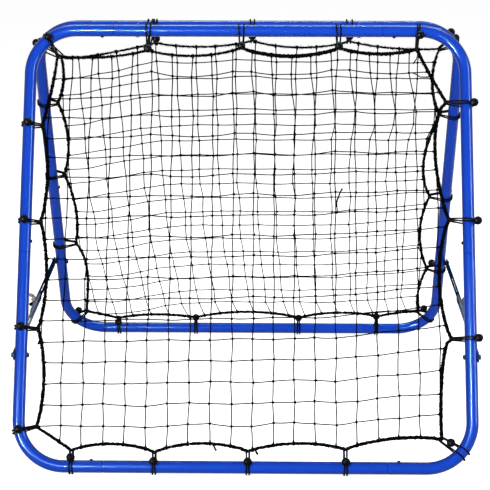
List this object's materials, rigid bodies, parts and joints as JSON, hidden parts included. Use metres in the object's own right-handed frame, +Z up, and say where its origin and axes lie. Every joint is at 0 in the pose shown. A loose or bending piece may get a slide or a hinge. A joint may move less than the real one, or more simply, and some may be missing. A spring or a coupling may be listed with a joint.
{
  "type": "pitch back rebounder",
  "caption": "Folding A-frame rebounder: blue tube frames with black knotted nets on both faces, hinged along the top and held by slotted braces with wing nuts.",
  "frame": {"origin": "on the ground, midway between the two frames and midway between the sides", "axes": "+Z up, +X to the right along the hinge line, +Y from the front frame to the rear frame"},
  "size_m": [1.0074, 0.9724, 0.8663],
  "materials": {
    "powder_coated_tube": "glossy blue powder coat on round steel tube and flat bar",
    "zinc": "bright zinc plate",
    "net_twine": "black knotted twine",
    "border_rope": "black laid rope, slightly hairy",
    "elastic_cord": "black braided elastic cord",
    "ball_plastic": "satin black plastic"
  },
  "bodies": {
    "front_frame": {"front_top_bar": "powder_coated_tube", "front_upper_corner_left": "powder_coated_tube", "front_upper_corner_right": "powder_coated_tube", "front_lower_corner_left": "powder_coated_tube", "front_lower_corner_right": "powder_coated_tube", "front_bottom_bar": "powder_coated_tube", "front_button_springs": "zinc", "hinge_cheeks": "powder_coated_tube", "hinge_bolts": "zinc", "hinge_nuts": "zinc", "front_pivot_bolts": "zinc", "front_pivot_nuts": "zinc", "front_net": "net_twine", "front_border_rope": "border_rope", "front_elastic_cords": "elastic_cord", "front_cord_balls": "ball_plastic"},
    "rear_frame": {"rear_top_bar": "powder_coated_tube", "rear_upper_corner_left": "powder_coated_tube", "rear_upper_corner_right": "powder_coated_tube", "rear_lower_corner_left": "powder_coated_tube", "rear_lower_corner_right": "powder_coated_tube", "rear_bottom_bar": "powder_coated_tube", "rear_button_springs": "zinc", "hinge_tongues": "powder_coated_tube", "rear_pivot_bolts": "zinc", "rear_pivot_nuts": "zinc", "rear_pivot_spacers": "zinc", "rear_net": "net_twine", "rear_border_rope": "border_rope", "rear_elastic_cords": "elastic_cord", "rear_cord_balls": "ball_plastic"},
    "front_brace_left": {"front_brace_left": "powder_coated_tube"},
    "rear_brace_left": {"rear_brace_left": "powder_coated_tube"},
    "clamp_bolt_left": {"clamp_bolt_left": "zinc", "clamp_washer_left": "zinc"},
    "wing_nut_left": {"wing_nut_left": "zinc"},
    "front_brace_right": {"front_brace_right": "powder_coated_tube"},
    "rear_brace_right": {"rear_brace_right": "powder_coated_tube"},
    "clamp_bolt_right": {"clamp_bolt_right": "zinc", "clamp_washer_right": "zinc"},
    "wing_nut_right": {"wing_nut_right": "zinc"},
    "front_button_top_left": {"front_button_top_left": "zinc"},
    "front_button_top_right": {"front_button_top_right": "zinc"},
    "front_button_side_left": {"front_button_side_left": "zinc"},
    "front_button_side_right": {"front_button_side_right": "zinc"},
    "front_button_bottom_left": {"front_button_bottom_left": "zinc"},
    "front_button_bottom_right": {"front_button_bottom_right": "zinc"},
    "rear_button_top_left": {"rear_button_top_left": "zinc"},
    "rear_button_top_right": {"rear_button_top_right": "zinc"},
    "rear_button_side_left": {"rear_button_side_left": "zinc"},
    "rear_button_side_right": {"rear_button_side_right": "zinc"},
    "rear_button_bottom_left": {"rear_button_bottom_left": "zinc"},
    "rear_button_bottom_right": {"rear_button_bottom_right": "zinc"}
  },
  "joints": [
    {"name": "fold", "type": "hinge", "parent": "front_frame", "child": "rear_frame", "pos_m": [0, 0, 0.83996], "axis": [1, 0, 0], "range_deg": [-22, 10]},
    {"name": "front_brace_left_pivot", "type": "hinge", "parent": "front_frame", "child": "front_brace_left", "pos_m": [-0.4803, -0.36028, 0.2205], "axis": [1, 0, 0], "range_deg": [-11, 5]},
    {"name": "rear_brace_left_pivot", "type": "hinge", "parent": "rear_frame", "child": "rear_brace_left", "pos_m": [-0.4831, 0.36028, 0.2205], "axis": [1, 0, 0], "range_deg": [-5, 11]},
    {"name": "clamp_left_slide", "type": "slide", "parent": "front_brace_left", "child": "clamp_bolt_left", "axis": [0, 1, 0], "range_m": [-0.071, 0.0325]},
    {"name": "wing_nut_left_turn", "type": "hinge", "parent": "clamp_bolt_left", "child": "wing_nut_left", "pos_m": [-0.488, 0.03472, 0.2205], "axis": [1, 0, 0], "continuous": true},
    {"name": "front_brace_right_pivot", "type": "hinge", "parent": "front_frame", "child": "front_brace_right", "pos_m": [0.4803, -0.36028, 0.2205], "axis": [1, 0, 0], "range_deg": [-11, 5]},
    {"name": "rear_brace_right_pivot", "type": "hinge", "parent": "rear_frame", "child": "rear_brace_right", "pos_m": [0.4831, 0.36028, 0.2205], "axis": [1, 0, 0], "range_deg": [-5, 11]},
    {"name": "clamp_right_slide", "type": "slide", "parent": "front_brace_right", "child": "clamp_bolt_right", "axis": [0, 1, 0], "range_m": [-0.071, 0.0325]},
    {"name": "wing_nut_right_turn", "type": "hinge", "parent": "clamp_bolt_right", "child": "wing_nut_right", "pos_m": [0.488, 0.03472, 0.2205], "axis": [1, 0, 0], "continuous": true},
    {"name": "front_button_top_left_press", "type": "slide", "parent": "front_frame", "child": "front_button_top_left", "axis": [0, 0.4602, 0.8878], "range_m": [0, 0.0046], "stiffness_N_per_m": 800, "springref_m": -0.002, "deforming": ["front_button_springs"]},
    {"name": "front_button_top_right_press", "type": "slide", "parent": "front_frame", "child": "front_button_top_right", "axis": [0, 0.4602, 0.8878], "range_m": [0, 0.0046], "stiffness_N_per_m": 800, "springref_m": -0.002, "deforming": ["front_button_springs"]},
    {"name": "front_button_side_left_press", "type": "slide", "parent": "front_frame", "child": "front_button_side_left", "axis": [-1, 0, 0], "range_m": [0, 0.0046], "stiffness_N_per_m": 800, "springref_m": -0.002, "deforming": ["front_button_springs"]},
    {"name": "front_button_side_right_press", "type": "slide", "parent": "front_frame", "child": "front_button_side_right", "axis": [1, 0, 0], "range_m": [0, 0.0046], "stiffness_N_per_m": 800, "springref_m": -0.002, "deforming": ["front_button_springs"]},
    {"name": "front_button_bottom_left_press", "type": "slide", "parent": "front_frame", "child": "front_button_bottom_left", "axis": [0, -0.4602, -0.8878], "range_m": [0, 0.0046], "stiffness_N_per_m": 800, "springref_m": -0.002, "deforming": ["front_button_springs"]},
    {"name": "front_button_bottom_right_press", "type": "slide", "parent": "front_frame", "child": "front_button_bottom_right", "axis": [0, -0.4602, -0.8878], "range_m": [0, 0.0046], "stiffness_N_per_m": 800, "springref_m": -0.002, "deforming": ["front_button_springs"]},
    {"name": "rear_button_top_left_press", "type": "slide", "parent": "rear_frame", "child": "rear_button_top_left", "axis": [0, -0.4602, 0.8878], "range_m": [0, 0.0046], "stiffness_N_per_m": 800, "springref_m": -0.002, "deforming": ["rear_button_springs"]},
    {"name": "rear_button_top_right_press", "type": "slide", "parent": "rear_frame", "child": "rear_button_top_right", "axis": [0, -0.4602, 0.8878], "range_m": [0, 0.0046], "stiffness_N_per_m": 800, "springref_m": -0.002, "deforming": ["rear_button_springs"]},
    {"name": "rear_button_side_left_press", "type": "slide", "parent": "rear_frame", "child": "rear_button_side_left", "axis": [-1, 0, 0], "range_m": [0, 0.0046], "stiffness_N_per_m": 800, "springref_m": -0.002, "deforming": ["rear_button_springs"]},
    {"name": "rear_button_side_right_press", "type": "slide", "parent": "rear_frame", "child": "rear_button_side_right", "axis": [1, 0, 0], "range_m": [0, 0.0046], "stiffness_N_per_m": 800, "springref_m": -0.002, "deforming": ["rear_button_springs"]},
    {"name": "rear_button_bottom_left_press", "type": "slide", "parent": "rear_frame", "child": "rear_button_bottom_left", "axis": [0, 0.4602, -0.8878], "range_m": [0, 0.0046], "stiffness_N_per_m": 800, "springref_m": -0.002, "deforming": ["rear_button_springs"]},
    {"name": "rear_button_bottom_right_press", "type": "slide", "parent": "rear_frame", "child": "rear_button_bottom_right", "axis": [0, 0.4602, -0.8878], "range_m": [0, 0.0046], "stiffness_N_per_m": 800, "springref_m": -0.002, "deforming": ["rear_button_springs"]}
  ],
  "couplings": [
    {"joint": "front_brace_left_pivot", "follows": "fold", "ratio": 0.5},
    {"joint": "rear_brace_left_pivot", "follows": "fold", "ratio": -0.5},
    {"joint": "clamp_left_slide", "follows": "fold", "m_per_rad": 0.1833},
    {"joint": "front_brace_right_pivot", "follows": "fold", "ratio": 0.5},
    {"joint": "rear_brace_right_pivot", "follows": "fold", "ratio": -0.5},
    {"joint": "clamp_right_slide", "follows": "fold", "m_per_rad": 0.1833}
  ]
}
